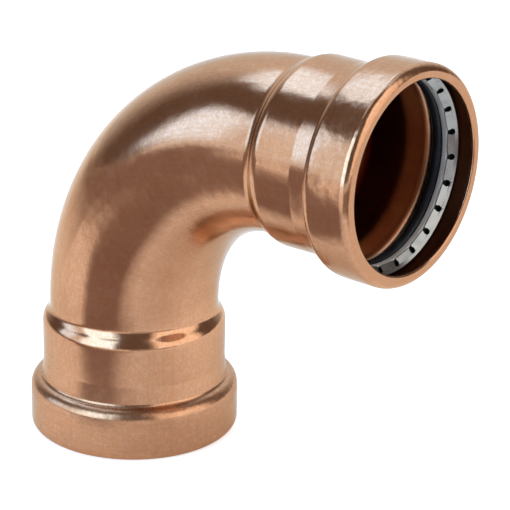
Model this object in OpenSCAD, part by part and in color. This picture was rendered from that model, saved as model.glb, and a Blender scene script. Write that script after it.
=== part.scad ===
// Press fit pipe elbow, 90 degrees, with two equal press sockets.
// The body is one copper tube, bent and expanded at both ends. Each socket holds
// a seal ring, a separator ring and a toothed grip ring inside its end bead.
// The origin is the centre of the lower mouth, +Z runs up into the lower socket,
// and the upper socket opens towards +X.

/* [Pipe] */
// Outside diameter of the pipe that goes into each socket
pipe_od = 66.7; // [54:0.1:108]
// Radial clearance between the pipe and the socket bore
pipe_clearance = 0.25; // [0.1:0.05:0.5]

/* [Tube] */
// Thickness of the copper wall
wall = 1.7; // [1.2:0.1:2.2]
// Radial drop from the socket to the bent tube, where the pipe stops
step_drop = 2.8; // [2:0.1:6]
// Radius of the bend, at the centre line of the tube
bend_radius = 79; // [60:1:120]
// Straight tube between each socket and the bend
neck_len = 2.3; // [0.5:0.1:30]

/* [Bead] */
// Radial rise of the bead above the socket
bead_rise = 4.85; // [4:0.05:6]
// Length from the mouth to the root of the bead
bead_len = 22.5; // [21:0.5:32]
// Radial clearance between the pipe and the edge of the turned-in lip
lip_clearance = 1.6; // [1.2:0.1:2.4]
// Outside radius where the bead turns into the lip
lip_fold_r = 2.5; // [2.3:0.1:3]
// Rounding of the lip's cut edge
lip_edge_r = 0.5; // [0.2:0.05:0.55]
// Radius of the bead's rounded shoulder
shoulder_r = 6.2; // [5.5:0.1:7]
// Radius at the root of the shoulder
shoulder_root_r = 1; // [0.5:0.1:2]

/* [Socket] */
// Length of the slightly tapered lead-in behind the bead
flare_len = 8; // [4:0.5:15]
// Radial widening of the lead-in at the bead
flare_gain = 0.35; // [0.1:0.05:0.6]
// Length of the straight bore that guides the pipe
guide_len = 13.2; // [8:0.1:40]
// Radius of the step that stops the pipe
step_r = 4.9; // [3:0.1:6]
// Radius at the root of the step
step_root_r = 1.2; // [0.5:0.1:3]

/* [Seal ring] */
// Radial clearance between the pipe and the seal ring before pressing
seal_clearance = 0.15; // [0.05:0.05:0.4]

/* [Separator ring] */
// Length of the separator ring along the socket
separator_len = 2.2; // [1.5:0.1:3]
// Radial clearance between the pipe and the separator ring
separator_clearance = 0.6; // [0.3:0.1:1]
// Rounding of the separator ring's edges
separator_edge_r = 0.5; // [0.2:0.1:0.7]

/* [Grip ring] */
// Number of teeth on the grip ring
grip_teeth = 23; // [16:1:30]
// Width of the slots between the teeth
grip_slot = 2.4; // [1.5:0.1:3]
// Thickness of the steel strip
grip_strip = 0.8; // [0.5:0.1:1]
// Length of the grip ring along the socket
grip_len = 2.9; // [2.5:0.1:4]
// Radial depth of the leg that bears on the bead's wall
grip_outer_leg = 2.1; // [1.5:0.1:2.5]
// Radial clearance between the pipe and the teeth before pressing
grip_clearance = 0.45; // [0.2:0.05:0.8]
// Distance that the tips of the teeth stay in front of the separator ring
grip_tip_rise = 0.35; // [0.2:0.05:0.6]
// Thickness left at the cutting edge of the teeth
grip_edge = 0.15; // [0.1:0.05:0.3]
// Turn of the first slot around the socket's axis
grip_turn = 1.6; // [0:0.1:22]

/* [Fit] */
// Gap left between each ring and what it seats on
ring_gap = 0.05; // [0.02:0.01:0.1]

/* [Hidden] */

$fn = 96;
arc_steps = 10;

// Radii, from the pipe outwards
pipe_r = pipe_od / 2;
bore_r = pipe_r + pipe_clearance;
socket_r = bore_r + wall;
flare_r = socket_r + flare_gain;
tube_r = socket_r - step_drop;
bead_r = socket_r + bead_rise;
chamber_r = bead_r - wall;
lip_r = pipe_r + lip_clearance;

// Stations along the socket, from the mouth inwards
shoulder_turn = turn_of(bead_r - flare_r, shoulder_r, shoulder_root_r);
shoulder_at = bead_len - (shoulder_r + shoulder_root_r) * sin(shoulder_turn);
flare_end = bead_len + flare_len;
guide_end = flare_end + guide_len;
step_turn = turn_of(socket_r - tube_r, step_r, step_root_r);
step_end = guide_end + (step_r + step_root_r) * sin(step_turn);
leg_len = step_end + neck_len;

// The seal ring fills the bead from the pipe to the wall, and lies where the shoulder's hollow begins
seal_bore_r = pipe_r + seal_clearance;
seal_outer_r = chamber_r - ring_gap;
seal_cord_r = (seal_outer_r - seal_bore_r) / 2;
seal_ring_r = seal_bore_r + seal_cord_r;
seal_at = shoulder_at;

// The separator ring lies against the seal ring, and the grip ring against the separator
separator_back = seal_at - seal_cord_r - ring_gap;
separator_front = separator_back - separator_len;
grip_back = separator_front - ring_gap;
grip_front = grip_back - grip_len;
grip_outer_r = chamber_r - ring_gap;
grip_apex_r = grip_outer_r - grip_outer_leg;
grip_tip_r = pipe_r + grip_clearance;
grip_tip_at = grip_back - grip_tip_rise;
grip_root_r = grip_apex_r + grip_strip / 2;
grip_slope = (grip_tip_at - grip_edge - grip_front) / (grip_root_r - grip_tip_r);
grip_strip_along = grip_strip * sqrt(1 + pow(grip_slope, 2));
grip_fold = 1.1 * grip_strip_along;
grip_pitch = 360 / grip_teeth;
tooth_from = grip_tip_r - grip_strip;
tooth_to = grip_root_r + grip_strip;

copper = "#c98a68";
steel = "#b9babb";
seal_black = "#1d1e20";
separator_grey = "#8d8e90";

// Angle at which a rounded shoulder meets its rounded root across a given drop in radius
function turn_of(drop, shoulder, root) = acos((shoulder + root - drop) / (shoulder + root));

// Half the width of a tooth at a radius, so that the slots keep one width
function tooth_half_width(r) = r * tan(grip_pitch / 2) - grip_slot / 2 / cos(grip_pitch / 2);

// Points of an arc around [radius, station], from one angle to another
function arc(centre, r, from, to) =
    [for (i = [0 : arc_steps])
        let (a = from + (to - from) * i / arc_steps)
        [centre[0] + r * cos(a), centre[1] + r * sin(a)]];

// Both faces of the wall share these centres, so the wall keeps its thickness round every bend
fold_centre = [bead_r - lip_fold_r, lip_fold_r];
shoulder_centre = [bead_r - shoulder_r, shoulder_at];
shoulder_root_centre = [flare_r + shoulder_root_r, bead_len];
step_centre = [socket_r - step_r, guide_end];
step_root_centre = [tube_r + step_root_r, step_end];

// The outside of one leg, from the lip to the bend
function outer_face() = concat(
    arc([lip_r + lip_edge_r, lip_edge_r], lip_edge_r, 180, 270),
    arc(fold_centre, lip_fold_r, 270, 360),
    arc(shoulder_centre, shoulder_r, 0, shoulder_turn),
    arc(shoulder_root_centre, shoulder_root_r, 180 + shoulder_turn, 180),
    [[socket_r, flare_end]],
    arc(step_centre, step_r, 0, step_turn),
    arc(step_root_centre, step_root_r, 180 + step_turn, 180),
    [[tube_r, leg_len]]);

// The inside of one leg, from the bend back to the lip
function inner_face() = concat(
    [[tube_r - wall, leg_len]],
    arc(step_root_centre, step_root_r + wall, 180, 180 + step_turn),
    arc(step_centre, step_r - wall, step_turn, 0),
    [[bore_r, flare_end]],
    arc(shoulder_root_centre, shoulder_root_r + wall, 180, 180 + shoulder_turn),
    arc(shoulder_centre, shoulder_r - wall, shoulder_turn, 0),
    arc(fold_centre, lip_fold_r - wall, 360, 270),
    arc([lip_r + lip_edge_r, wall - lip_edge_r], lip_edge_r, 90, 180));

// Places a piece of the lower socket in the upper socket, with both at the ends of the bend
module in_upper_socket() {
    translate([0, 0, leg_len])
        translate([bend_radius, 0, bend_radius])
            rotate([0, -90, 0])
                translate([0, 0, -leg_len])
                    children();
}

module leg() {
    rotate_extrude()
        polygon(concat(outer_face(), inner_face()));
}

module bend() {
    translate([bend_radius, 0, leg_len])
        rotate([90, 0, 0])
            rotate([0, 0, 90])
                rotate_extrude(angle = 90)
                    translate([bend_radius, 0])
                        difference() {
                            circle(tube_r);
                            circle(tube_r - wall);
                        }
}

module elbow_body() {
    color(copper)
        union() {
            leg();
            bend();
            in_upper_socket() leg();
        }
}

module seal_ring() {
    color(seal_black)
        rotate_extrude()
            translate([seal_ring_r, seal_at])
                circle(seal_cord_r);
}

module separator_ring() {
    inner = pipe_r + separator_clearance;
    outer = chamber_r - ring_gap;
    edge = separator_edge_r;
    color(separator_grey)
        rotate_extrude()
            polygon(concat(
                arc([inner + edge, separator_front + edge], edge, 180, 270),
                arc([outer - edge, separator_front + edge], edge, 270, 360),
                arc([outer - edge, separator_back - edge], edge, 0, 90),
                arc([inner + edge, separator_back - edge], edge, 90, 180)));
}

// The leg of the grip ring that bears on the wall, with the fold that carries the teeth
module grip_hoop() {
    rotate_extrude()
        polygon([[grip_apex_r, grip_front],
                 [grip_apex_r + grip_strip, grip_front],
                 [grip_outer_r, grip_back - grip_strip],
                 [grip_outer_r, grip_back],
                 [grip_outer_r - grip_strip, grip_back],
                 [grip_apex_r, grip_front + grip_fold]]);
}

// One flat tooth, sloping from the fold down to a cutting edge beside the pipe
module grip_tooth() {
    root_front = grip_front + grip_fold - grip_strip_along;
    back_r = grip_tip_r + (grip_strip_along - grip_edge) / grip_slope;
    intersection() {
        rotate([90, 0, 0])
            linear_extrude(2 * grip_root_r, center = true)
                polygon([[grip_tip_r, grip_tip_at - grip_edge],
                         [grip_root_r, root_front],
                         [grip_root_r, root_front + grip_strip_along],
                         [back_r, grip_tip_at],
                         [grip_tip_r, grip_tip_at]]);
        translate([0, 0, grip_front - grip_len])
            linear_extrude(3 * grip_len)
                polygon([[tooth_from, -tooth_half_width(tooth_from)],
                         [tooth_to, -tooth_half_width(tooth_to)],
                         [tooth_to, tooth_half_width(tooth_to)],
                         [tooth_from, tooth_half_width(tooth_from)]]);
    }
}

module grip_ring() {
    color(steel)
        rotate([0, 0, grip_turn])
            union() {
                grip_hoop();
                for (i = [0 : grip_teeth - 1])
                    rotate([0, 0, (i + 0.5) * grip_pitch])
                        grip_tooth();
            }
}

elbow_body();
seal_ring();  // lower_seal_ring
separator_ring();  // lower_separator_ring
grip_ring();  // lower_grip_ring
in_upper_socket() seal_ring();  // upper_seal_ring
in_upper_socket() separator_ring();  // upper_separator_ring
in_upper_socket() grip_ring();  // upper_grip_ring
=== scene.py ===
import math
from collections import namedtuple

import bmesh
import bpy
from mathutils import Matrix, Vector


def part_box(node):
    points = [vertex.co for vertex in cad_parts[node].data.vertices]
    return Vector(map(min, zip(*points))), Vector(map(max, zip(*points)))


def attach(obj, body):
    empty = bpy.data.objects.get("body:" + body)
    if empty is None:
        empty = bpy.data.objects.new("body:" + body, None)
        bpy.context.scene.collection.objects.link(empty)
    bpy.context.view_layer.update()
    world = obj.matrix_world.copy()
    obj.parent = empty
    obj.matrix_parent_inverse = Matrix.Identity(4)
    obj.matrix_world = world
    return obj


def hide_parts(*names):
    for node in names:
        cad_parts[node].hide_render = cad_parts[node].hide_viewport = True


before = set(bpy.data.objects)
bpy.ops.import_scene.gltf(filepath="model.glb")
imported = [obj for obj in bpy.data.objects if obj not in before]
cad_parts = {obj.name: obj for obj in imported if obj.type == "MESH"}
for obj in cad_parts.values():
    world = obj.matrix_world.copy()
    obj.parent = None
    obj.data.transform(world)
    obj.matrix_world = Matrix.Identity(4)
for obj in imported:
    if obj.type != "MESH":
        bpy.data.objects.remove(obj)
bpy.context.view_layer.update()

# A copper press fit elbow: one bent and expanded tube, with a rubber seal, a plastic separator
# and a toothed steel grip ring in the bead of each socket.

# Sizes in metres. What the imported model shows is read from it.
MM = 0.001
body_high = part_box("elbow_body")[1]
seal_low, seal_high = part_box("lower_seal_ring")
separator_low, separator_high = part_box("lower_separator_ring")
grip_low, grip_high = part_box("lower_grip_ring")

# Radii and lengths of the copper tube
bead_r = body_high.y
reach = body_high.x
wall = 1.7 * MM
bend_radius = 79 * MM
bead_rise = 4.85 * MM
step_drop = 2.8 * MM
bead_len = 22.1 * MM
flare_len = 6.3 * MM
flare_gain = 0.45 * MM
guide_len = 14.4 * MM
guide_waist = 0.15 * MM
crease = 0.4 * MM
lip_depth = 5.2 * MM
lip_fold_r = 3.3 * MM
lip_edge_r = 0.8 * MM
crown_len = 7 * MM
crown_turn = math.radians(2.5)
shoulder_r = 4.4 * MM
shoulder_root_r = 1.6 * MM
step_r = 7 * MM
step_root_r = 6 * MM

socket_r = bead_r - bead_rise
waist_r = socket_r - guide_waist
flare_r = socket_r + flare_gain
bore_r = socket_r - wall
tube_r = socket_r - step_drop
chamber_r = bead_r - wall
lip_r = bead_r - lip_depth

# Stations along a socket, from its mouth inwards
flare_end = bead_len + flare_len
guide_end = flare_end + guide_len
leg_len = reach - bend_radius
bend_len = bend_radius * math.pi / 2
tube_len = 2 * leg_len + bend_len

# The seal and the separator
seal_cord_r = (seal_high.z - seal_low.z) / 2
seal_ring_r = seal_high.y - seal_cord_r
seal_at = (seal_high.z + seal_low.z) / 2
moulding_line = 0.05 * MM
moulding_turn = math.radians(4)
separator_bore_r = 33.95 * MM
separator_edge_r = 0.5 * MM
separator_shade = 0.3 * MM

# The grip ring
grip_teeth = 23
grip_slot = 1.6 * MM
grip_hole_r = 1.2 * MM
grip_hole_bite = 0.65 * MM
grip_strip = 0.6 * MM
grip_outer_leg = 1.8 * MM
grip_collar = 1.0 * MM
grip_collar_proud = 0.03 * MM
grip_tip_r = 33.8 * MM
grip_tip_rise = 0.35 * MM
grip_edge = 0.15 * MM
grip_turn = math.radians(1.6)
grip_fold_fullness = 1.1
grip_punch_len = 4 * grip_strip

# Steps of the meshes
around_steps = 160
bend_steps = 72
arc_steps = 12
cord_steps = 22
edge_steps = 7
hoop_steps_per_tooth = 8
hole_steps = 24
merge_distance = 0.001 * MM
hoop_edge = 0.1 * MM
tooth_edge = 0.05 * MM
edge_segments = 2
sharp_angle = math.radians(35)

# The grip ring has a second material that paints shade: on the strip's back and in its holes
painted_shade_index = 1
least_lean_back = 0.2

AXIS_Y = Vector((0, 1, 0))
AXIS_Z = Vector((0, 0, 1))
ORIGIN = Vector((0, 0, 0))
FULL_TURN = 2 * math.pi
HALF_TURN = math.pi
QUARTER_TURN = math.pi / 2

# Carries a piece of the lower socket to its place in the upper socket
to_upper_socket = Matrix.Translation((reach, 0, reach)) @ Matrix.Rotation(-QUARTER_TURN, 4, "Y")


# A section is drawn with a pen, in the plane of radius and station

def pen_down(bm, r, at):
    return bm.verts.new((r, 0, at))


def pen_line(bm, tip, r, at):
    made = bmesh.ops.extrude_vert_indiv(bm, verts=[tip])
    tip = made["verts"][0]
    tip.co = (r, 0, at)
    return tip


def pen_arc(bm, tip, centre, turn, steps=arc_steps):
    """Carries the tip round a centre. A positive turn goes from the radius towards the station."""
    made = bmesh.ops.spin(
        bm, geom=[tip], cent=(centre[0], 0, centre[1]), axis=-AXIS_Y, angle=turn, steps=steps,
    )
    return next(g for g in made["geom_last"] if isinstance(g, bmesh.types.BMVert))


def turn_all_round(bm, steps):
    """Spins the section that was drawn into a closed ring about the socket's axis."""
    bmesh.ops.spin(
        bm, geom=bm.verts[:] + bm.edges[:], cent=ORIGIN, axis=AXIS_Z, angle=FULL_TURN,
        steps=steps, use_merge=True,
    )
    bmesh.ops.remove_doubles(bm, verts=bm.verts[:], dist=merge_distance)
    bmesh.ops.recalc_face_normals(bm, faces=bm.faces[:])


def soften_edges(bm, width):
    """Rounds every edge that is sharp enough to catch the light."""
    sharp = [e for e in bm.edges if e.is_manifold and e.calc_face_angle() > sharp_angle]
    bmesh.ops.bevel(
        bm, geom=sharp, offset=width, offset_type="OFFSET", affect="EDGES",
        segments=edge_segments, profile=0.5, material=-1, clamp_overlap=True,
    )


def mesh_of(name, bm):
    """Closes a bmesh into a mesh with outward faces and smooth shading between its sharp edges."""
    bmesh.ops.recalc_face_normals(bm, faces=bm.faces[:])
    mesh = bpy.data.meshes.new(name)
    bm.to_mesh(mesh)
    bm.free()
    mesh.shade_smooth()
    mesh.set_sharp_from_angle(angle=sharp_angle)
    return mesh


def put_in_scene(name, data):
    thing = bpy.data.objects.new(name, data)
    bpy.context.scene.collection.objects.link(thing)
    return thing


def finish_piece(name, mesh, node):
    """Puts a finished mesh in the place of its solid."""
    piece = put_in_scene(name, mesh)
    even = piece.modifiers.new("even_shading", "WEIGHTED_NORMAL")
    even.keep_sharp = True
    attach(piece, "root")
    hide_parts(node)


# The copper tube

def turn_between(drop, shoulder, root):
    """Angle at which a rounded shoulder meets its rounded root across a drop in radius."""
    return math.acos((shoulder + root - drop) / (shoulder + root))


crown_r = crown_len / math.sin(crown_turn)
shoulder_top_r = bead_r - (crown_r - shoulder_r) * (1 - math.cos(crown_turn))
shoulder_turn = turn_between(shoulder_top_r - flare_r, shoulder_r, shoulder_root_r)
step_turn = turn_between(step_drop, step_r, step_root_r)
flare_slope = (flare_r - waist_r) / flare_len
shoulder_at = bead_len - (shoulder_r + shoulder_root_r) * math.sin(shoulder_turn)
step_end = guide_end + (step_r + step_root_r) * math.sin(step_turn)

fold_centre = (bead_r - lip_fold_r, lip_fold_r)
shoulder_centre = (shoulder_top_r - shoulder_r, shoulder_at)
crown_centre = (bead_r - crown_r, shoulder_at - (crown_r - shoulder_r) * math.sin(crown_turn))
shoulder_root_centre = (flare_r + shoulder_root_r, bead_len)
step_centre = (socket_r - step_r, guide_end)
step_root_centre = (tube_r + step_root_r, step_end)


def draw_leg_outside(bm):
    """From the bend down to the cut edge of the lip."""
    tip = pen_down(bm, tube_r, leg_len)
    tip = pen_line(bm, tip, tube_r, step_end)
    tip = pen_arc(bm, tip, step_root_centre, step_turn)
    tip = pen_arc(bm, tip, step_centre, -step_turn)
    tip = pen_line(bm, tip, waist_r, flare_end + crease)
    tip = pen_line(bm, tip, waist_r + flare_slope * crease, flare_end - crease)
    tip = pen_line(bm, tip, flare_r - flare_slope * crease, bead_len + crease)
    tip = pen_line(bm, tip, flare_r, bead_len)
    tip = pen_arc(bm, tip, shoulder_root_centre, shoulder_turn)
    tip = pen_arc(bm, tip, shoulder_centre, crown_turn - shoulder_turn)
    tip = pen_arc(bm, tip, crown_centre, -crown_turn, edge_steps)
    tip = pen_line(bm, tip, bead_r, lip_fold_r)
    tip = pen_arc(bm, tip, fold_centre, -QUARTER_TURN)
    tip = pen_line(bm, tip, lip_r + lip_edge_r, 0)
    return pen_arc(bm, tip, (lip_r + lip_edge_r, lip_edge_r), -QUARTER_TURN, edge_steps)


def draw_leg_inside(bm, tip, inside):
    """From the cut edge of the lip back up to the bend."""
    tip = pen_line(bm, tip, lip_r, wall - lip_edge_r)
    tip = pen_arc(bm, tip, (lip_r + lip_edge_r, wall - lip_edge_r), -QUARTER_TURN, edge_steps)
    tip = pen_line(bm, tip, fold_centre[0], wall)
    tip[inside] = 1
    tip = pen_arc(bm, tip, fold_centre, QUARTER_TURN)
    tip = pen_line(bm, tip, chamber_r, shoulder_at)
    tip = pen_arc(bm, tip, shoulder_centre, shoulder_turn)
    tip = pen_arc(bm, tip, shoulder_root_centre, -shoulder_turn)
    tip = pen_line(bm, tip, bore_r, flare_end)
    tip = pen_line(bm, tip, bore_r, guide_end)
    tip = pen_arc(bm, tip, step_centre, step_turn)
    tip = pen_arc(bm, tip, step_root_centre, -step_turn)
    pen_line(bm, tip, tube_r - wall, leg_len)


def copper_tube_mesh(name):
    """Both legs and the bend between them as one closed shell.

    The inside attribute is 1 on the inner wall. The straightened attribute is each point's place
    on the tube before it was bent, so that marks follow the tube round the bend.
    """
    bm = bmesh.new()
    inside = bm.verts.layers.float.new("inside")
    straightened = bm.verts.layers.float_vector.new("straightened")
    draw_leg_inside(bm, draw_leg_outside(bm), inside)
    turn_all_round(bm, around_steps)
    for v in bm.verts:
        v[straightened] = v.co

    lower_leg = bm.verts[:] + bm.edges[:] + bm.faces[:]
    copied = bmesh.ops.duplicate(bm, geom=lower_leg)["geom"]
    upper_leg = [g for g in copied if isinstance(g, bmesh.types.BMVert)]
    for v in upper_leg:
        v[straightened] = (-v.co.x, v.co.y, tube_len - v.co.z)
    bmesh.ops.transform(bm, matrix=to_upper_socket, verts=upper_leg)

    bend_centre = Vector((bend_radius, 0, leg_len))
    open_edges = [e for e in bm.edges if e.is_boundary]
    lower_ends = [e for e in open_edges if max(v.co.z for v in e.verts) < leg_len + merge_distance]
    lower_rims = list({v for e in lower_ends for v in e.verts})
    legs = set(bm.verts)
    bmesh.ops.spin(
        bm, geom=lower_rims + lower_ends, cent=bend_centre, axis=AXIS_Y, angle=QUARTER_TURN,
        steps=bend_steps,
    )
    for v in bm.verts:
        if v not in legs:
            out = v.co - bend_centre
            v[straightened].z = leg_len + bend_radius * math.atan2(out.z, -out.x)
    bmesh.ops.remove_doubles(bm, verts=bm.verts[:], dist=merge_distance)
    return mesh_of(name, bm)


# The rings inside each bead

def seal_mesh(name):
    """A round rubber cord with a fine moulding line round its bore."""
    centre = (seal_ring_r, seal_at)
    line_r = seal_ring_r - seal_cord_r * math.cos(moulding_turn)
    line_back = seal_at - seal_cord_r * math.sin(moulding_turn)
    bm = bmesh.new()
    tip = pen_down(bm, seal_ring_r + seal_cord_r, seal_at)
    tip = pen_arc(bm, tip, centre, HALF_TURN - moulding_turn, cord_steps)
    tip = pen_line(bm, tip, seal_ring_r - seal_cord_r - moulding_line, seal_at)
    tip = pen_line(bm, tip, line_r, line_back)
    pen_arc(bm, tip, centre, HALF_TURN - moulding_turn, cord_steps)
    turn_all_round(bm, around_steps)
    return mesh_of(name, bm)


def separator_mesh(name):
    """A flat plastic ring with rounded edges. The covered attribute is 1 where the teeth lie on it."""
    edge = separator_edge_r
    inner = separator_bore_r + edge
    shade = inner + separator_shade
    outer = separator_high.y - edge
    front = separator_low.z + edge
    back = separator_high.z - edge
    bm = bmesh.new()
    covered = bm.verts.layers.float.new("covered")
    tip = pen_down(bm, separator_bore_r, front)
    tip = pen_arc(bm, tip, (inner, front), QUARTER_TURN, edge_steps)
    tip = pen_line(bm, tip, shade, separator_low.z)
    tip[covered] = 1
    tip = pen_line(bm, tip, outer, separator_low.z)
    tip = pen_arc(bm, tip, (outer, front), QUARTER_TURN, edge_steps)
    tip[covered] = 0
    tip = pen_line(bm, tip, separator_high.y, back)
    tip = pen_arc(bm, tip, (outer, back), QUARTER_TURN, edge_steps)
    tip = pen_line(bm, tip, inner, separator_high.z)
    tip = pen_arc(bm, tip, (inner, back), QUARTER_TURN, edge_steps)
    pen_line(bm, tip, separator_bore_r, front)
    turn_all_round(bm, around_steps)
    return mesh_of(name, bm)


# The grip ring is a folded strip: a hoop that bears on the bead, and flat teeth that lean inwards
grip_front = grip_low.z
grip_back = grip_high.z
grip_outer_r = grip_high.y
grip_apex_r = grip_outer_r - grip_outer_leg
grip_root_r = grip_apex_r + grip_strip / 2
grip_tip_at = grip_back - grip_tip_rise
grip_pitch = FULL_TURN / grip_teeth
tooth_slope = (grip_tip_at - grip_edge - grip_front) / (grip_root_r - grip_tip_r)
strip_along = grip_strip * math.sqrt(1 + tooth_slope ** 2)
grip_fold = grip_fold_fullness * strip_along
grip_root_front = grip_front + grip_fold - strip_along


def shade_the_back(bm):
    """Gives the faces that look away from the mouth the material with painted shade."""
    bm.normal_update()
    for f in bm.faces:
        if f.normal.z > least_lean_back:
            f.material_index = painted_shade_index


def grip_hoop_mesh(name):
    """The leg that bears on the bead, the fold, and the plain collar that carries the teeth."""
    collar_front = grip_root_front + grip_collar * tooth_slope - grip_collar_proud
    collar_back = collar_front + strip_along + 2 * grip_collar_proud
    collar_r = grip_root_r - grip_collar
    bm = bmesh.new()
    tip = pen_down(bm, collar_r, collar_front)
    tip = pen_line(bm, tip, grip_root_r, grip_front)
    tip = pen_line(bm, tip, grip_apex_r + grip_strip, grip_front)
    tip = pen_line(bm, tip, grip_outer_r, grip_back - grip_strip)
    tip = pen_line(bm, tip, grip_outer_r, grip_back)
    tip = pen_line(bm, tip, grip_outer_r - grip_strip, grip_back)
    tip = pen_line(bm, tip, grip_apex_r, grip_front + grip_fold)
    tip = pen_line(bm, tip, collar_r, collar_back)
    pen_line(bm, tip, collar_r, collar_front)
    turn_all_round(bm, grip_teeth * hoop_steps_per_tooth)
    soften_edges(bm, hoop_edge)
    shade_the_back(bm)
    return mesh_of(name, bm)


def tooth_half_width(r):
    """The slots between the teeth keep one width."""
    return r * math.tan(grip_pitch / 2) - grip_slot / 2 / math.cos(grip_pitch / 2)


def repeat_for_teeth(bm):
    """Copies what was made for one tooth round the ring."""
    bmesh.ops.spin(
        bm, geom=bm.verts[:] + bm.edges[:] + bm.faces[:], cent=ORIGIN, axis=AXIS_Z,
        angle=FULL_TURN - grip_pitch, steps=grip_teeth - 1, use_duplicate=True,
    )


def grip_teeth_mesh(name):
    """Flat teeth with one slot between each two, leaning inwards from the collar."""
    back_r = grip_tip_r + (strip_along - grip_edge) / tooth_slope
    section = (
        (grip_tip_r, grip_tip_at - grip_edge),
        (grip_root_r, grip_root_front),
        (grip_root_r, grip_root_front + strip_along),
        (back_r, grip_tip_at),
        (grip_tip_r, grip_tip_at),
    )
    bm = bmesh.new()
    side = bm.faces.new([pen_down(bm, r, at) for r, at in section])
    near = list(side.verts)
    bmesh.ops.extrude_face_region(bm, geom=[side])
    for v in bm.verts:
        half = tooth_half_width(v.co.x)
        v.co.y = -half if v in near else half
    bmesh.ops.recalc_face_normals(bm, faces=bm.faces[:])
    soften_edges(bm, tooth_edge)
    shade_the_back(bm)
    bmesh.ops.rotate(
        bm, verts=bm.verts[:], cent=ORIGIN,
        matrix=Matrix.Rotation(grip_turn + grip_pitch / 2, 3, "Z"),
    )
    repeat_for_teeth(bm)
    return mesh_of(name, bm)


def grip_holes_mesh(name):
    """Punches for the round holes that end the slots at the roots of the teeth."""
    hole_at_r = grip_root_r - grip_collar - grip_hole_r + grip_hole_bite
    hole_at = grip_root_front + (grip_root_r - hole_at_r) * tooth_slope + strip_along / 2
    lean = Matrix.Rotation(math.atan(tooth_slope), 4, "Y")
    bm = bmesh.new()
    bmesh.ops.create_cone(
        bm, cap_ends=True, segments=hole_steps, radius1=grip_hole_r, radius2=grip_hole_r,
        depth=grip_punch_len, matrix=Matrix.Translation((hole_at_r, 0, hole_at)) @ lean,
    )
    # The punches' faces become the hole walls, which get the painted shade.
    for f in bm.faces:
        f.material_index = painted_shade_index
    bmesh.ops.rotate(bm, verts=bm.verts[:], cent=ORIGIN, matrix=Matrix.Rotation(grip_turn, 3, "Z"))
    repeat_for_teeth(bm)
    return mesh_of(name, bm)


def grip_mesh(name):
    """The hoop and its teeth joined into one closed piece of steel, with the holes punched out."""
    hoop = put_in_scene("grip_hoop", grip_hoop_mesh("grip_hoop"))
    teeth = put_in_scene("grip_teeth", grip_teeth_mesh("grip_teeth"))
    holes = put_in_scene("grip_holes", grip_holes_mesh("grip_holes"))
    for thing in (hoop, teeth, holes):
        thing.data.materials.append(steel)
        thing.data.materials.append(shaded_steel)
    for operation, helper in (("UNION", teeth), ("DIFFERENCE", holes)):
        step = hoop.modifiers.new(operation.lower(), "BOOLEAN")
        step.operation = operation
        step.solver = "EXACT"
        step.object = helper
    depsgraph = bpy.context.evaluated_depsgraph_get()
    made = bpy.data.meshes.new_from_object(hoop.evaluated_get(depsgraph))
    made.name = name
    for helper in (hoop, teeth, holes):
        bpy.data.objects.remove(helper)
    return made


# Materials

def feed(tree, node, sockets):
    """Gives each socket named a value or a link."""
    for key, value in sockets.items():
        if isinstance(value, bpy.types.NodeSocket):
            tree.links.new(value, node.inputs[key])
        else:
            node.inputs[key].default_value = value


def add(tree, kind, sockets=None, **settings):
    """Adds a node with its settings, and feeds its sockets."""
    made = tree.nodes.new(kind)
    for name, value in settings.items():
        setattr(made, name, value)
    feed(tree, made, sockets or {})
    return made


def calculate(tree, operation, *values):
    """A Math node's result."""
    made = add(tree, "ShaderNodeMath", dict(enumerate(values)), operation=operation)
    return made.outputs[0]


def remap(tree, value, low, high, to_low, to_high):
    """A value taken smoothly from one range to another."""
    sockets = {"Value": value, "From Min": low, "From Max": high, "To Min": to_low, "To Max": to_high}
    made = add(tree, "ShaderNodeMapRange", sockets, interpolation_type="SMOOTHSTEP")
    return made.outputs[0]


def mix_colours(tree, share, first, second):
    """The first colour, going over to the second as the share rises."""
    made = add(tree, "ShaderNodeMix", {0: share, 6: first, 7: second}, data_type="RGBA")
    return made.outputs[2]


def tint(tree, colour, towards, mask, share):
    """A colour that goes a share of the way to another where the mask is 1."""
    return mix_colours(tree, calculate(tree, "MULTIPLY", mask, share), colour, towards)


def heighten(tree, value, mask, amount):
    """A value that grows by an amount where the mask is 1."""
    return calculate(tree, "MULTIPLY_ADD", mask, amount, value)


def bump(tree, height, depth, strength, under=None):
    """A normal that follows a height, over another normal if one is given."""
    sockets = {"Strength": strength, "Distance": depth, "Height": height}
    if under is not None:
        sockets["Normal"] = under
    return add(tree, "ShaderNodeBump", sockets).outputs[0]


def grey(level):
    return (level, level, level, 1)


def start_group(name, inputs, outputs):
    group = bpy.data.node_groups.new(name, "ShaderNodeTree")
    for label, kind, default in inputs:
        socket = group.interface.new_socket(label, in_out="INPUT", socket_type=kind)
        if default is not None:
            socket.default_value = default
    for label, kind in outputs:
        group.interface.new_socket(label, in_out="OUTPUT", socket_type=kind)
    return group, group.nodes.new("NodeGroupInput").outputs, group.nodes.new("NodeGroupOutput").inputs


FLOAT = "NodeSocketFloat"
VECTOR = "NodeSocketVector"


def cloud_group():
    """Soft patches of a given size, as on metal that was handled."""
    group, given, result = start_group(
        "soft_patches",
        (
            ("Vector", VECTOR, None), ("Size", FLOAT, 20), ("Detail", FLOAT, 4), ("Low", FLOAT, 0.4),
            ("High", FLOAT, 0.65),
        ),
        (("Mask", FLOAT),),
    )
    scale = calculate(group, "DIVIDE", 1, given["Size"])
    noise = add(
        group, "ShaderNodeTexNoise",
        {"Vector": given["Vector"], "Scale": scale, "Detail": given["Detail"], "Roughness": 0.55},
    )
    mask = remap(group, noise.outputs["Fac"], given["Low"], given["High"], 0, 1)
    group.links.new(mask, result["Mask"])
    return group


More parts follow.
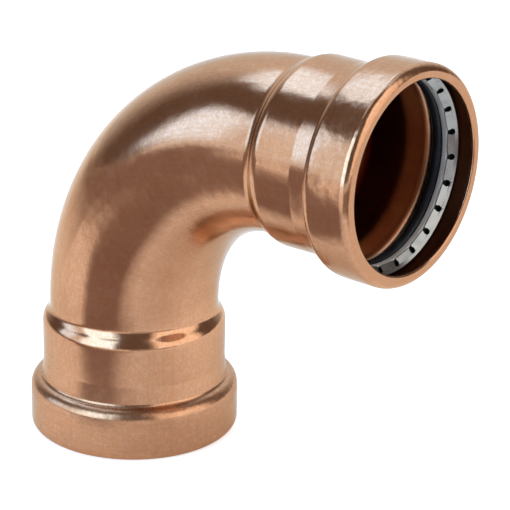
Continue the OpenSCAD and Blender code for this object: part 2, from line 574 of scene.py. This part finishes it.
def line_group():
    """Fine parallel lines, as long and as wide as the stretch makes them."""
    group, given, result = start_group(
        "drawn_lines",
        (
            ("Vector", VECTOR, None), ("Stretch", VECTOR, (1, 1, 1)), ("Low", FLOAT, 0.45),
            ("High", FLOAT, 0.7),
        ),
        (("Mask", FLOAT),),
    )
    stretched = add(
        group, "ShaderNodeVectorMath", {0: given["Vector"], 1: given["Stretch"]}, operation="MULTIPLY",
    )
    noise = add(
        group, "ShaderNodeTexNoise",
        {"Vector": stretched.outputs[0], "Scale": 1, "Detail": 3, "Roughness": 0.6},
    )
    mask = remap(group, noise.outputs["Fac"], given["Low"], given["High"], 0, 1)
    group.links.new(mask, result["Mask"])
    return group


def speck_group():
    """Scattered small dots: a share of the cells of a given spacing holds one dot each."""
    group, given, result = start_group(
        "specks",
        (
            ("Vector", VECTOR, None), ("Spacing", FLOAT, 2), ("Radius", FLOAT, 0.2),
            ("Share", FLOAT, 0.3),
        ),
        (("Mask", FLOAT),),
    )
    scale = calculate(group, "DIVIDE", 1, given["Spacing"])
    cells = add(group, "ShaderNodeTexVoronoi", {"Vector": given["Vector"], "Scale": scale})
    dot = remap(group, cells.outputs["Distance"], 0, given["Radius"], 1, 0)
    draw = add(group, "ShaderNodeSeparateColor", {0: cells.outputs["Color"]})
    chosen = calculate(group, "LESS_THAN", draw.outputs[0], given["Share"])
    group.links.new(calculate(group, "MULTIPLY", dot, chosen), result["Mask"])
    return group


clouds = cloud_group()
lines = line_group()
specks = speck_group()


def start_material(name):
    material = bpy.data.materials.new(name)
    material.use_nodes = True
    tree = material.node_tree
    shader = next(n for n in tree.nodes if n.type == "BSDF_PRINCIPLED")
    return material, tree, shader


def output_of(tree):
    return next(n for n in tree.nodes if n.type == "OUTPUT_MATERIAL")


def attribute(tree, name, output="Fac"):
    return add(tree, "ShaderNodeAttribute", attribute_name=name).outputs[output]


def in_millimetres(tree, socket):
    made = add(tree, "ShaderNodeVectorMath", {0: socket, "Scale": 1 / MM}, operation="SCALE")
    return made.outputs[0]


def place_on_piece(tree):
    """Object coordinates in millimetres."""
    return in_millimetres(tree, add(tree, "ShaderNodeTexCoord").outputs["Object"])


def mask_of(tree, group, **sockets):
    return add(tree, "ShaderNodeGroup", sockets, node_tree=group).outputs["Mask"]


# Copper: its colours, its gloss and the depth of its marks
copper_bright = (0.53, 0.258, 0.136, 1)
copper_brown = (0.38, 0.167, 0.082, 1)
copper_pale = (0.58, 0.34, 0.22, 1)
# The inner wall's colours paint its light and shade: lighter in the throat near the mouth, darker in the
# chamber, which is also oxide, and darkest down the bore.
copper_throat_painted_light = (0.42, 0.105, 0.03, 1)
copper_chamber_oxide_and_shade = (0.24, 0.09, 0.035, 1)
copper_bore_painted_shade = (0.26, 0.042, 0.011, 1)
copper_edge = (0.80, 0.74, 0.64, 1)
# A paler copper painted where copper is seen in its own reflection: a painted reflection.
copper_painted_reflection = (0.70, 0.47, 0.36, 1)
copper_roughness = 0.105
copper_wave_depth = 0.08 * MM
tube_waviness = 0.4
copper_grain_depth = 0.006 * MM
throat_dullness = 0.6
rolling_lean = 1.6

# Limits of the copper's zones, as stations from a mouth. The throat is the first stretch of the bore
# behind the bead.
before_mouth = -10 * MM
past_bend = 1
zone_edge = 4 * MM
bore_edge = 20 * MM
rim_edge = 0.8 * MM
lip_face_end = 0.6 * MM
throat_start = bead_len - 1 * MM
throat_rim_start = bead_len - 4.4 * MM
throat_rim_end = bead_len - 2.2 * MM
shoulder_wear_start = shoulder_at - 2 * MM
shoulder_wear_edge = 3 * MM

CopperPlace = namedtuple("CopperPlace", "straight rolled along station inside")
CopperZones = namedtuple("CopperZones", "bead lip_face throat throat_rim bore worn_guide worn_shoulder")
CopperMarks = namedtuple("CopperMarks", "patches blotches mottle waves dents drawn rolled grain nicks")


def copper_place(tree):
    """Where a point lies on the straightened tube, in millimetres.

    The rolled place leans with the radius, so that lines across it run round the tube and its lip.
    """
    straight = in_millimetres(tree, attribute(tree, "straightened", "Vector"))
    parts = add(tree, "ShaderNodeSeparateXYZ", {0: straight}).outputs
    flat = add(tree, "ShaderNodeCombineXYZ", {"X": parts["X"], "Y": parts["Y"]}).outputs[0]
    radius = add(tree, "ShaderNodeVectorMath", {0: flat}, operation="LENGTH").outputs["Value"]
    leaning = calculate(tree, "MULTIPLY_ADD", radius, rolling_lean, parts["Z"])
    rolled = add(tree, "ShaderNodeCombineXYZ", {"X": parts["X"], "Y": parts["Y"], "Z": leaning})
    from_far_mouth = calculate(tree, "SUBTRACT", tube_len / MM, parts["Z"])
    station = calculate(tree, "MINIMUM", parts["Z"], from_far_mouth)
    return CopperPlace(straight, rolled.outputs[0], parts["Z"], station, attribute(tree, "inside"))


def stations_within(tree, station, start, end, edge):
    """A mask that is 1 between two stations. The station is in millimetres, its limits are in metres."""
    half = edge / 2
    begun = remap(tree, station, (start - half) / MM, (start + half) / MM, 0, 1)
    ended = remap(tree, station, (end - half) / MM, (end + half) / MM, 1, 0)
    return calculate(tree, "MULTIPLY", begun, ended)


def copper_zones(tree, place):
    """Stretches of both sockets, and the worn ones of the lower socket."""
    station = place.station
    along = place.along
    return CopperZones(
        bead=stations_within(tree, station, before_mouth, bead_len, zone_edge),
        lip_face=stations_within(tree, station, before_mouth, lip_face_end, rim_edge),
        throat=stations_within(tree, station, throat_start, flare_end, zone_edge),
        throat_rim=stations_within(tree, station, throat_rim_start, throat_rim_end, rim_edge),
        bore=stations_within(tree, station, guide_end, past_bend, bore_edge),
        worn_guide=stations_within(tree, along, bead_len, guide_end, zone_edge),
        worn_shoulder=stations_within(tree, along, shoulder_wear_start, bead_len, shoulder_wear_edge),
    )


def copper_marks(tree, place, zones):
    """What drawing, rolling and handling leave on the metal."""
    straight = place.straight
    rolled = mask_of(tree, lines, Vector=place.rolled, Stretch=(0.06, 0.06, 1.3), Low=0.4, High=0.75)
    return CopperMarks(
        patches=mask_of(tree, clouds, Vector=straight, Size=26.0, Low=0.42, High=0.68),
        blotches=mask_of(tree, clouds, Vector=straight, Size=5.0, Low=0.45, High=0.75),
        mottle=mask_of(tree, clouds, Vector=straight, Size=2.2, Low=0.42, High=0.68),
        waves=mask_of(tree, clouds, Vector=straight, Size=9.0, Detail=2.0, Low=0.2, High=0.8),
        dents=mask_of(tree, clouds, Vector=straight, Size=4.0, Detail=1.0, Low=0.2, High=0.8),
        drawn=mask_of(tree, lines, Vector=straight, Stretch=(1.6, 1.6, 0.03), Low=0.42, High=0.72),
        rolled=calculate(tree, "MULTIPLY", rolled, zones.bead),
        grain=mask_of(tree, clouds, Vector=straight, Size=0.9, Low=0.25, High=0.75),
        nicks=mask_of(tree, specks, Vector=straight, Spacing=2.6, Radius=0.14, Share=0.15),
    )


def copper_colour(tree, place, zones, marks):
    """Browner in patches and on the lip, and paler in nicks. Where copper is seen in its own reflection
    a paler copper is painted. Inside, painted shade darkens down the bore, with painted light in the
    throat and a painted highlight on the throat's rim.
    """
    outside = tint(tree, copper_bright, copper_brown, marks.patches, share=0.4)
    outside = tint(tree, outside, copper_pale, marks.mottle, share=0.35)
    outside = tint(tree, outside, copper_brown, marks.grain, share=0.45)
    outside = tint(tree, outside, copper_brown, marks.drawn, share=0.25)
    outside = tint(tree, outside, copper_brown, marks.rolled, share=0.4)
    outside = tint(tree, outside, copper_pale, marks.nicks, share=0.5)
    outside = tint(tree, outside, copper_brown, zones.lip_face, share=0.5)
    # Where copper is seen in its own reflection, a paler copper is painted: a painted reflection.
    mirrored = add(tree, "ShaderNodeLightPath").outputs["Is Glossy Ray"]
    outside = mix_colours(tree, mirrored, outside, copper_painted_reflection)
    painted_lining = mix_colours(tree, zones.bore, copper_chamber_oxide_and_shade, copper_bore_painted_shade)
    painted_lining = mix_colours(tree, zones.throat, painted_lining, copper_throat_painted_light)
    painted_lining = tint(tree, painted_lining, copper_bore_painted_shade, marks.patches, share=0.6)
    # A pale line painted on the throat's rim: a painted highlight.
    painted_lining = mix_colours(tree, zones.throat_rim, painted_lining, copper_pale)
    return mix_colours(tree, place.inside, outside, painted_lining)


def copper_gloss(tree, place, zones, marks):
    """Roughness, which blotches, grain and wear raise."""
    rough = heighten(tree, copper_roughness, marks.blotches, amount=0.06)
    rough = heighten(tree, rough, marks.grain, amount=0.04)
    rough = heighten(tree, rough, marks.drawn, amount=0.02)
    rough = heighten(tree, rough, zones.bead, amount=0.03)
    rough = heighten(tree, rough, zones.worn_guide, amount=0.08)
    rough = heighten(tree, rough, zones.worn_shoulder, amount=0.11)
    return heighten(tree, rough, place.inside, amount=0.2)


def copper_normal(tree, zones, marks):
    """Slow waves and dents, strongest on the bead, under the fine relief of the other marks."""
    waviness = heighten(tree, tube_waviness, zones.bead, amount=0.6)
    slow = calculate(tree, "MULTIPLY", marks.waves, waviness)
    slow = heighten(tree, slow, calculate(tree, "MULTIPLY", marks.dents, zones.bead), amount=0.5)
    relief = heighten(tree, marks.grain, marks.drawn, amount=0.3)
    relief = heighten(tree, relief, marks.rolled, amount=0.8)
    relief = heighten(tree, relief, marks.nicks, amount=-1.0)
    wavy = bump(tree, slow, copper_wave_depth, strength=1.0)
    return bump(tree, relief, copper_grain_depth, strength=1.0, under=wavy)


def copper_material():
    """Satin copper with a fine grain, faint drawn lines and small nicks, duller in the throat."""
    material, tree, shader = start_material("satin_copper")
    place = copper_place(tree)
    zones = copper_zones(tree, place)
    marks = copper_marks(tree, place, zones)
    dull = calculate(tree, "MULTIPLY", place.inside, zones.throat)
    feed(tree, shader, {
        "Base Color": copper_colour(tree, place, zones, marks),
        "Metallic": heighten(tree, 1, dull, -throat_dullness),
        "Roughness": copper_gloss(tree, place, zones, marks),
        "Normal": copper_normal(tree, zones, marks),
        "Specular Tint": copper_edge,
    })
    return material


# Colours of the rings
steel_bright = (0.28, 0.256, 0.232, 1)
steel_smudged = (0.225, 0.206, 0.186, 1)
# Near-black steel colours that paint shade on the grip ring's back and in its holes.
steel_shade_pale = (0.035, 0.032, 0.030, 1)
steel_shade_deep = (0.022, 0.020, 0.019, 1)
plastic_pale = (0.60, 0.52, 0.455, 1)
plastic_deep = (0.52, 0.45, 0.395, 1)
painted_shade_black = grey(0.008)
rubber_black = (0.010, 0.010, 0.012, 1)
rubber_bloom = (0.018, 0.019, 0.022, 1)
dust_grey = grey(0.12)

# Their gloss and the depth of their finest relief
steel_roughness = 0.2
shaded_steel_roughness = 0.45
plastic_roughness = 0.3
rubber_roughness = 0.32
rubber_gloss = 0.2
rolling_depth = 0.003 * MM
plastic_skin_depth = 0.004 * MM
rubber_skin_depth = 0.006 * MM


def steel_material():
    """Bright rolled stainless strip."""
    material, tree, shader = start_material("stainless_strip")
    place = place_on_piece(tree)
    rolled = mask_of(tree, lines, Vector=place, Stretch=(2.5, 2.5, 2.5), Low=0.35, High=0.7)
    smudge = mask_of(tree, clouds, Vector=place, Size=6.0, Low=0.4, High=0.7)
    feed(tree, shader, {
        "Base Color": mix_colours(tree, smudge, steel_bright, steel_smudged),
        "Metallic": 1,
        "Roughness": heighten(tree, steel_roughness, rolled, amount=0.08),
        "Normal": bump(tree, rolled, rolling_depth, strength=0.6),
    })
    return material


def shaded_steel_material():
    """The strip's back and punched edges, painted dark as shade."""
    material, tree, shader = start_material("shaded_strip")
    shade_tone = mask_of(tree, clouds, Vector=place_on_piece(tree), Size=2.0, Low=0.35, High=0.7)
    feed(tree, shader, {
        "Base Color": mix_colours(tree, shade_tone, steel_shade_pale, steel_shade_deep),
        "Metallic": 1,
        "Roughness": heighten(tree, shaded_steel_roughness, shade_tone, amount=0.15),
    })
    return material


def separator_material():
    """Smooth grey moulded plastic, with painted shade where the teeth cover it."""
    material, tree, shader = start_material("grey_separator")
    place = place_on_piece(tree)
    tone = mask_of(tree, clouds, Vector=place, Size=9.0, Low=0.35, High=0.7)
    skin = mask_of(tree, clouds, Vector=place, Size=0.5, Low=0.3, High=0.7)
    colour = mix_colours(tree, tone, plastic_pale, plastic_deep)
    feed(tree, shader, {
        "Base Color": tint(tree, colour, painted_shade_black, attribute(tree, "covered"), share=0.95),
        "Roughness": heighten(tree, plastic_roughness, tone, amount=0.1),
        "Normal": bump(tree, skin, plastic_skin_depth, strength=0.5),
    })
    return material


def rubber_material():
    """Black seal rubber with a light grease sheen and a little dust."""
    material, tree, shader = start_material("black_rubber")
    place = place_on_piece(tree)
    bloom = mask_of(tree, clouds, Vector=place, Size=7.0, Low=0.45, High=0.75)
    skin = mask_of(tree, clouds, Vector=place, Size=0.4, Low=0.3, High=0.7)
    dust = mask_of(tree, specks, Vector=place, Spacing=1.6, Radius=0.12, Share=0.15)
    colour = mix_colours(tree, bloom, rubber_black, rubber_bloom)
    feed(tree, shader, {
        "Base Color": tint(tree, colour, dust_grey, dust, share=0.4),
        "Roughness": heighten(tree, rubber_roughness, bloom, amount=0.15),
        "Specular IOR Level": rubber_gloss,
        "Normal": bump(tree, skin, rubber_skin_depth, strength=0.5),
    })
    return material


# The pieces
copper = copper_material()
steel = steel_material()
shaded_steel = shaded_steel_material()
plastic = separator_material()
rubber = rubber_material()

tube = copper_tube_mesh("copper_elbow")
tube.materials.append(copper)
finish_piece("copper_elbow", tube, "elbow_body")

# The grip ring's mesh comes with its two materials, the second with painted shade
rings = (
    ("seal", seal_mesh, rubber, "seal_ring", "seal_rubber"),
    ("separator", separator_mesh, plastic, "separator_ring", "separator_plastic"),
    ("grip", grip_mesh, None, "grip_ring", "grip_steel"),
)
for kind, make, material, node, slot in rings:
    for socket in ("lower", "upper"):
        name = f"{socket}_{kind}"
        mesh = make(name)
        if material:
            mesh.materials.append(material)
        if socket == "upper":
            mesh.transform(to_upper_socket)
        finish_piece(name, mesh, f"{socket}_{node}")

# The camera
camera_aim = Vector((54.7 * MM, 5.8 * MM, 80.9 * MM))
camera_azimuth = math.radians(38.85)
camera_elevation = math.radians(21.03)
camera_distance = 943.8 * MM
camera_roll = math.radians(0.936)
camera_lens = 179.93
camera_sensor = 36
camera_near = 0.05
camera_far = 50


def add_camera():
    """The photograph's view."""
    level = math.cos(camera_elevation)
    back = Vector((
        math.sin(camera_azimuth) * level,
        -math.cos(camera_azimuth) * level,
        math.sin(camera_elevation),
    ))
    data = bpy.data.cameras.new("camera")
    data.lens = camera_lens
    data.sensor_width = camera_sensor
    data.clip_start = camera_near
    data.clip_end = camera_far
    camera = put_in_scene("camera", data)
    turn = (-back).to_track_quat("-Z", "Y").to_matrix() @ Matrix.Rotation(camera_roll, 3, "Z")
    camera.matrix_world = Matrix.Translation(camera_aim + back * camera_distance) @ turn.to_4x4()
    bpy.context.scene.camera = camera


# The studio: a pale floor and backdrop, and soft boxes around the object.
# Azimuths are measured from the camera's side, towards its right, and all angles are in degrees.
# The boxes are bluish, so that copper shows them nearly white.
Panel = namedtuple("Panel", "name azimuth elevation half_width half_height edge colour")
studio_level = (0.22, 0.195, 0.19)
panels = (
    Panel("ceiling", -165, 80, 105, 18, 14, (1.05, 1.45, 1.95)),
    Panel("backdrop", 180, 10, 40, 50, 40, (1.15, 1.4, 1.7)),
    Panel("fill", 60, 25, 32, 38, 14, (2.0, 2.15, 2.25)),
    Panel("overhead_box", -158, 64, 25, 20, 7, (1.8, 3.1, 5.1)),
    Panel("overhead_box_front", -133, 66, 15, 16, 7, (1.8, 3.1, 5.1)),
    Panel("key_spill", -60, 14, 34, 18, 10, (1.3, 1.6, 1.9)),
    Panel("side_box", -44, 21, 22, 25, 10, (2.4, 4.2, 6.5)),
    Panel("key_box", -91, 17.5, 10, 14, 9, (1.75, 3.05, 5.1)),
)
floor_radius = 4.0
floor_steps = 96
floor_colour = (0.80, 0.74, 0.66)
camera_lift = 0.6
# The floor's lifts for the metal are painted light, seen only in its reflections.
metal_lift = 0.36
key_side_lift = 0.25
far_side_lift = 0.25
# Between these lines the lifts come and go, in metres to the left of the object as the camera sees it
key_side_start = -0.04
key_side_full = 0.10
far_side_full = -0.14
far_side_end = -0.05
card_height = 0.5 * MM
card_colour = (0.41, 0.268, 0.208)
# Each card's thin outer edge and the line from which it covers fully, in metres on the floor
near_card_edge = (
    (0.034, -0.060), (-0.002, -0.068), (-0.030, -0.092), (-0.090, -0.155), (-0.140, -0.198),
    (-0.230, -0.215), (-0.300, -0.185), (-0.220, -0.060), (-0.320, 0.050), (-1.500, 0.700),
    (-3.900, 0.700), (-2.850, -2.700), (-1.580, -2.600), (-0.760, -1.210), (-0.390, -0.670),
    (-0.270, -0.650), (-0.050, -0.480), (0.075, -0.440), (0.250, -0.330), (0.115, -0.095),
    (0.063, -0.090),
)
near_card_cover = (
    (0.024, -0.092), (-0.007, -0.097), (-0.022, -0.108), (-0.072, -0.166), (-0.110, -0.204),
    (-0.190, -0.258), (-0.440, -0.300), (-1.000, -0.220), (-1.600, 0.060), (-3.000, 0.300),
    (-3.300, -0.100), (-2.900, -2.300), (-1.760, -2.290), (-0.850, -1.160), (-0.430, -0.630),
    (-0.150, -0.340), (-0.030, -0.278), (0.026, -0.190), (0.055, -0.160), (0.056, -0.145),
    (0.043, -0.126),
)
far_card_edge = (
    (0.185, -0.240), (0.275, -0.185), (0.335, -0.095), (0.340, 0.015),
    (1.390, 0.180), (1.350, -0.420), (1.030, -0.940), (0.530, -1.250),
)
far_card_cover = (
    (0.260, -0.300), (0.340, -0.235), (0.395, -0.140), (0.420, -0.020),
    (0.960, -0.065), (0.885, -0.365), (0.740, -0.590), (0.550, -0.750),
)


def panel_group():
    """How far a direction lies within a soft-edged panel. All angles are in radians."""
    group, given, result = start_group(
        "studio_panel",
        (
            ("Azimuth", FLOAT, 0), ("Elevation", FLOAT, 0), ("Centre Azimuth", FLOAT, 0),
            ("Centre Elevation", FLOAT, 0), ("Half Width", FLOAT, 1), ("Half Height", FLOAT, 1),
            ("Edge", FLOAT, 0.1),
        ),
        (("Mask", FLOAT),),
    )

    def within(distance, half):
        inner = calculate(group, "MULTIPLY_ADD", given["Edge"], -0.5, half)
        outer = calculate(group, "MULTIPLY_ADD", given["Edge"], 0.5, half)
        return remap(group, distance, inner, outer, 1, 0)

    across = calculate(group, "SUBTRACT", given["Azimuth"], given["Centre Azimuth"])
    across = calculate(group, "WRAP", across, math.pi, -math.pi)
    across = calculate(group, "ABSOLUTE", across)
    up = calculate(group, "SUBTRACT", given["Elevation"], given["Centre Elevation"])
    up = calculate(group, "ABSOLUTE", up)
    in_width = within(across, given["Half Width"])
    in_height = within(up, given["Half Height"])
    mask = calculate(group, "MULTIPLY", in_width, in_height)
    group.links.new(mask, result["Mask"])
    return group


def add_world():
    """The studio all round: its walls, and its panels painted by direction. The camera sees white."""
    world = bpy.data.worlds.new("studio")
    world.use_nodes = True
    bpy.context.scene.world = world
    tree = world.node_tree
    background = next(n for n in tree.nodes if n.type == "BACKGROUND")
    direction = add(tree, "ShaderNodeTexCoord").outputs["Generated"]
    turned = add(
        tree, "ShaderNodeVectorRotate",
        {"Vector": direction, "Angle": -camera_azimuth}, rotation_type="Z_AXIS",
    )
    parts = add(tree, "ShaderNodeSeparateXYZ", {0: turned.outputs[0]})
    forward = calculate(tree, "MULTIPLY", parts.outputs["Y"], -1)
    azimuth = calculate(tree, "ARCTAN2", parts.outputs["X"], forward)
    elevation = calculate(tree, "ARCSINE", parts.outputs["Z"])
    group = panel_group()
    colour = (*studio_level, 1)
    for panel in panels:
        sockets = {
            "Azimuth": azimuth,
            "Elevation": elevation,
            "Centre Azimuth": math.radians(panel.azimuth),
            "Centre Elevation": math.radians(panel.elevation),
            "Half Width": math.radians(panel.half_width),
            "Half Height": math.radians(panel.half_height),
            "Edge": math.radians(panel.edge),
        }
        made = add(tree, "ShaderNodeGroup", sockets, node_tree=group, label=panel.name)
        colour = mix_colours(tree, made.outputs["Mask"], colour, (*panel.colour, 1))
    seen = add(tree, "ShaderNodeLightPath").outputs["Is Camera Ray"]
    feed(tree, background, {"Color": mix_colours(tree, seen, colour, grey(1)), "Strength": 1})


def add_floor():
    """A pale floor that keeps the object's shadow, white to the camera and in the metal. In the metal it
    also glows with painted light, brighter to the left and to the far right as the camera sees it.
    """
    bm = bmesh.new()
    bmesh.ops.create_circle(bm, cap_ends=True, segments=floor_steps, radius=floor_radius)
    floor = put_in_scene("floor", mesh_of("floor", bm))
    material, tree, shader = start_material("pale_floor")
    tree.nodes.remove(shader)
    path = add(tree, "ShaderNodeLightPath").outputs
    in_metal = calculate(tree, "MAXIMUM", path["Is Glossy Ray"], path["Is Transmission Ray"])
    place = add(tree, "ShaderNodeTexCoord").outputs["Object"]
    leftwards = (-math.cos(camera_azimuth), -math.sin(camera_azimuth), 0)
    across = add(tree, "ShaderNodeVectorMath", {0: place, 1: leftwards}, operation="DOT_PRODUCT")
    to_left = across.outputs["Value"]
    key_lift = metal_lift + key_side_lift
    key_side = remap(tree, to_left, key_side_start, key_side_full, metal_lift, key_lift)
    far_side = remap(tree, to_left, far_side_full, far_side_end, far_side_lift, 0)
    sides = calculate(tree, "ADD", key_side, far_side)
    lift = calculate(tree, "MULTIPLY", path["Is Camera Ray"], camera_lift)
    lift = calculate(tree, "MULTIPLY_ADD", in_metal, sides, lift)
    matt = add(tree, "ShaderNodeBsdfDiffuse", {"Color": (*floor_colour, 1)})
    white = add(tree, "ShaderNodeEmission", {"Color": grey(1), "Strength": lift})
    both = add(tree, "ShaderNodeAddShader", {0: matt.outputs[0], 1: white.outputs[0]})
    feed(tree, output_of(tree), {"Surface": both.outputs[0]})
    floor.data.materials.append(material)


def draw_loop(bm, points):
    corners = [bm.verts.new((x, y, card_height)) for x, y in points]
    return [bm.edges.new((a, b)) for a, b in zip(corners, corners[1:] + corners[:1])]


def add_dark_cards():
    """Dark cards on the floor, seen only in the metal's reflections and casting no shadow: a painted
    dark reflection that gives the metal its dark sides.

    They thin out to nothing towards their edges.
    """
    bm = bmesh.new()
    cover = bm.verts.layers.float.new("cover")
    for edge, covered in ((near_card_edge, near_card_cover), (far_card_edge, far_card_cover)):
        edge_loop = draw_loop(bm, edge)
        cover_loop = draw_loop(bm, covered)
        for e in cover_loop:
            for v in e.verts:
                v[cover] = 1
        bmesh.ops.bridge_loops(bm, edges=edge_loop + cover_loop)
        bmesh.ops.contextual_create(bm, geom=cover_loop)
    card = put_in_scene("dark_cards", mesh_of("dark_cards", bm))
    material, tree, shader = start_material("dark_card")
    feed(tree, shader, {"Base Color": (*card_colour, 1), "Roughness": 1, "Specular IOR Level": 0})
    clear = add(tree, "ShaderNodeBsdfTransparent")
    sockets = {0: attribute(tree, "cover"), 1: clear.outputs[0], 2: shader.outputs[0]}
    mixed = add(tree, "ShaderNodeMixShader", sockets)
    feed(tree, output_of(tree), {"Surface": mixed.outputs[0]})
    card.data.materials.append(material)
    card.visible_camera = False
    card.visible_diffuse = False
    card.visible_shadow = False


add_camera()
add_world()
add_floor()
add_dark_cards()
bpy.context.scene.view_settings.view_transform = "Standard"
